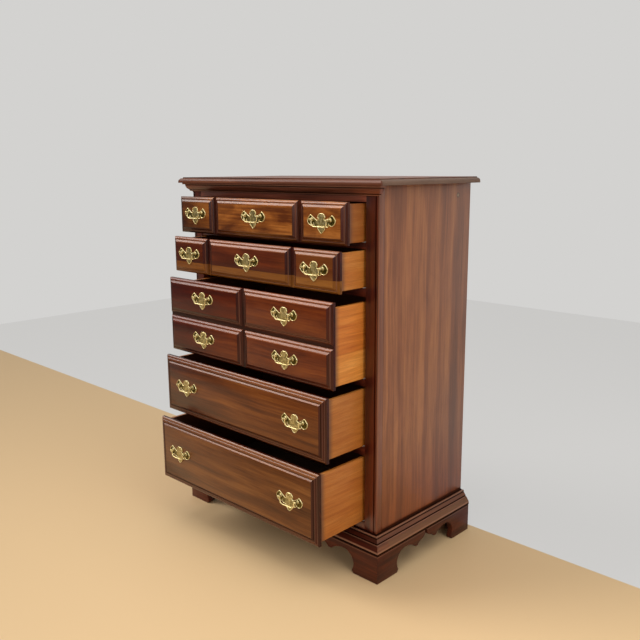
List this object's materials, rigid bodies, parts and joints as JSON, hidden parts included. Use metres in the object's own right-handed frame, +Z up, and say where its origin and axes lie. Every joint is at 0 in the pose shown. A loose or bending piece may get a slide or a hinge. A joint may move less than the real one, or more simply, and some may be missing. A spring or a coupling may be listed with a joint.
{
  "type": "chest of drawers",
  "caption": "Tall wooden chest of drawers with moulded raised blocks on lipped drawer fronts, batwing bail pulls, a moulded base and shaped bracket feet; the drawers slide and the bails swing",
  "frame": {"origin": "on the floor, below the middle of the box that the chest and its drawers fill as stored", "axes": "+X towards the viewer's right when facing the drawers, +Y from the drawers towards the back, +Z up"},
  "size_m": [0.975, 0.7236, 1.269],
  "materials": {
    "case_wood": "satin lacquer, red-brown",
    "frame_wood": "satin lacquer, dark red-brown",
    "front_wood": "satin lacquer, figured red-brown",
    "drawer_wood": "thin clear finish, golden brown",
    "secondary_wood": "bare",
    "panel_wood": "bare plywood",
    "brass": "antiqued, bright on the edges",
    "nylon": "moulded"
  },
  "bodies": {
    "case": {"top_board": "case_wood", "cornice_moulding": "frame_wood", "side_panel_left": "case_wood", "side_panel_right": "case_wood", "stile_left": "frame_wood", "stile_right": "frame_wood", "top_rail": "frame_wood", "divider_rails": "frame_wood", "bottom_rail": "frame_wood", "runner_frames": "secondary_wood", "drawer_guides": "secondary_wood", "rail_glides": "nylon", "back_panel": "panel_wood", "bottom_board": "panel_wood", "base_moulding_front": "case_wood", "base_moulding_sides": "case_wood", "front_brackets": "case_wood", "side_brackets": "case_wood", "rear_brackets": "secondary_wood", "foot_blocks": "secondary_wood"},
    "drawer_1": {"drawer_1_front": "front_wood", "drawer_1_sides": "drawer_wood", "drawer_1_back": "drawer_wood", "drawer_1_bottom": "panel_wood", "drawer_1_pull_plates": "brass"},
    "drawer_1_bail_left": {"drawer_1_bail_left": "brass"},
    "drawer_1_bail_middle": {"drawer_1_bail_middle": "brass"},
    "drawer_1_bail_right": {"drawer_1_bail_right": "brass"},
    "drawer_2": {"drawer_2_front": "front_wood", "drawer_2_sides": "drawer_wood", "drawer_2_back": "drawer_wood", "drawer_2_bottom": "panel_wood", "drawer_2_pull_plates": "brass"},
    "drawer_2_bail_left": {"drawer_2_bail_left": "brass"},
    "drawer_2_bail_middle": {"drawer_2_bail_middle": "brass"},
    "drawer_2_bail_right": {"drawer_2_bail_right": "brass"},
    "drawer_3": {"drawer_3_front": "front_wood", "drawer_3_sides": "drawer_wood", "drawer_3_back": "drawer_wood", "drawer_3_bottom": "panel_wood", "drawer_3_pull_plates": "brass"},
    "drawer_3_bail_upper_left": {"drawer_3_bail_upper_left": "brass"},
    "drawer_3_bail_upper_right": {"drawer_3_bail_upper_right": "brass"},
    "drawer_3_bail_lower_left": {"drawer_3_bail_lower_left": "brass"},
    "drawer_3_bail_lower_right": {"drawer_3_bail_lower_right": "brass"},
    "drawer_4": {"drawer_4_front": "front_wood", "drawer_4_sides": "drawer_wood", "drawer_4_back": "drawer_wood", "drawer_4_bottom": "panel_wood", "drawer_4_pull_plates": "brass"},
    "drawer_4_bail_left": {"drawer_4_bail_left": "brass"},
    "drawer_4_bail_right": {"drawer_4_bail_right": "brass"},
    "drawer_5": {"drawer_5_front": "front_wood", "drawer_5_sides": "drawer_wood", "drawer_5_back": "drawer_wood", "drawer_5_bottom": "panel_wood", "drawer_5_pull_plates": "brass"},
    "drawer_5_bail_left": {"drawer_5_bail_left": "brass"},
    "drawer_5_bail_right": {"drawer_5_bail_right": "brass"}
  },
  "joints": [
    {"name": "drawer_1_slide", "type": "slide", "parent": "case", "child": "drawer_1", "axis": [0, -1, 0], "range_m": [-0.076, 0.264]},
    {"name": "drawer_1_bail_left_swing", "type": "hinge", "parent": "drawer_1", "child": "drawer_1_bail_left", "pos_m": [-0.3085, -0.23065, 1.1487], "axis": [-1, 0, 0], "range_deg": [0, 90]},
    {"name": "drawer_1_bail_middle_swing", "type": "hinge", "parent": "drawer_1", "child": "drawer_1_bail_middle", "pos_m": [0, -0.23065, 1.1487], "axis": [-1, 0, 0], "range_deg": [0, 90]},
    {"name": "drawer_1_bail_right_swing", "type": "hinge", "parent": "drawer_1", "child": "drawer_1_bail_right", "pos_m": [0.3085, -0.23065, 1.1487], "axis": [-1, 0, 0], "range_deg": [0, 90]},
    {"name": "drawer_2_slide", "type": "slide", "parent": "case", "child": "drawer_2", "axis": [0, -1, 0], "range_m": [-0.11, 0.23]},
    {"name": "drawer_2_bail_left_swing", "type": "hinge", "parent": "drawer_2", "child": "drawer_2_bail_left", "pos_m": [-0.3085, -0.26465, 1.0087], "axis": [-1, 0, 0], "range_deg": [0, 90]},
    {"name": "drawer_2_bail_middle_swing", "type": "hinge", "parent": "drawer_2", "child": "drawer_2_bail_middle", "pos_m": [0, -0.26465, 1.0087], "axis": [-1, 0, 0], "range_deg": [0, 90]},
    {"name": "drawer_2_bail_right_swing", "type": "hinge", "parent": "drawer_2", "child": "drawer_2_bail_right", "pos_m": [0.3085, -0.26465, 1.0087], "axis": [-1, 0, 0], "range_deg": [0, 90]},
    {"name": "drawer_3_slide", "type": "slide", "parent": "case", "child": "drawer_3", "axis": [0, -1, 0], "range_m": [-0.1385, 0.2015]},
    {"name": "drawer_3_bail_upper_left_swing", "type": "hinge", "parent": "drawer_3", "child": "drawer_3_bail_upper_left", "pos_m": [-0.205, -0.29315, 0.86145], "axis": [-1, 0, 0], "range_deg": [0, 90]},
    {"name": "drawer_3_bail_upper_right_swing", "type": "hinge", "parent": "drawer_3", "child": "drawer_3_bail_upper_right", "pos_m": [0.205, -0.29315, 0.86145], "axis": [-1, 0, 0], "range_deg": [0, 90]},
    {"name": "drawer_3_bail_lower_left_swing", "type": "hinge", "parent": "drawer_3", "child": "drawer_3_bail_lower_left", "pos_m": [-0.205, -0.29315, 0.72195], "axis": [-1, 0, 0], "range_deg": [0, 90]},
    {"name": "drawer_3_bail_lower_right_swing", "type": "hinge", "parent": "drawer_3", "child": "drawer_3_bail_lower_right", "pos_m": [0.205, -0.29315, 0.72195], "axis": [-1, 0, 0], "range_deg": [0, 90]},
    {"name": "drawer_4_slide", "type": "slide", "parent": "case", "child": "drawer_4", "axis": [0, -1, 0], "range_m": [-0.168, 0.172]},
    {"name": "drawer_4_bail_left_swing", "type": "hinge", "parent": "drawer_4", "child": "drawer_4_bail_left", "pos_m": [-0.277, -0.32265, 0.5382], "axis": [-1, 0, 0], "range_deg": [0, 90]},
    {"name": "drawer_4_bail_right_swing", "type": "hinge", "parent": "drawer_4", "child": "drawer_4_bail_right", "pos_m": [0.277, -0.32265, 0.5382], "axis": [-1, 0, 0], "range_deg": [0, 90]},
    {"name": "drawer_5_slide", "type": "slide", "parent": "case", "child": "drawer_5", "axis": [0, -1, 0], "range_m": [-0.203, 0.137]},
    {"name": "drawer_5_bail_left_swing", "type": "hinge", "parent": "drawer_5", "child": "drawer_5_bail_left", "pos_m": [-0.286, -0.35765, 0.2952], "axis": [-1, 0, 0], "range_deg": [0, 90]},
    {"name": "drawer_5_bail_right_swing", "type": "hinge", "parent": "drawer_5", "child": "drawer_5_bail_right", "pos_m": [0.286, -0.35765, 0.2952], "axis": [-1, 0, 0], "range_deg": [0, 90]}
  ]
}
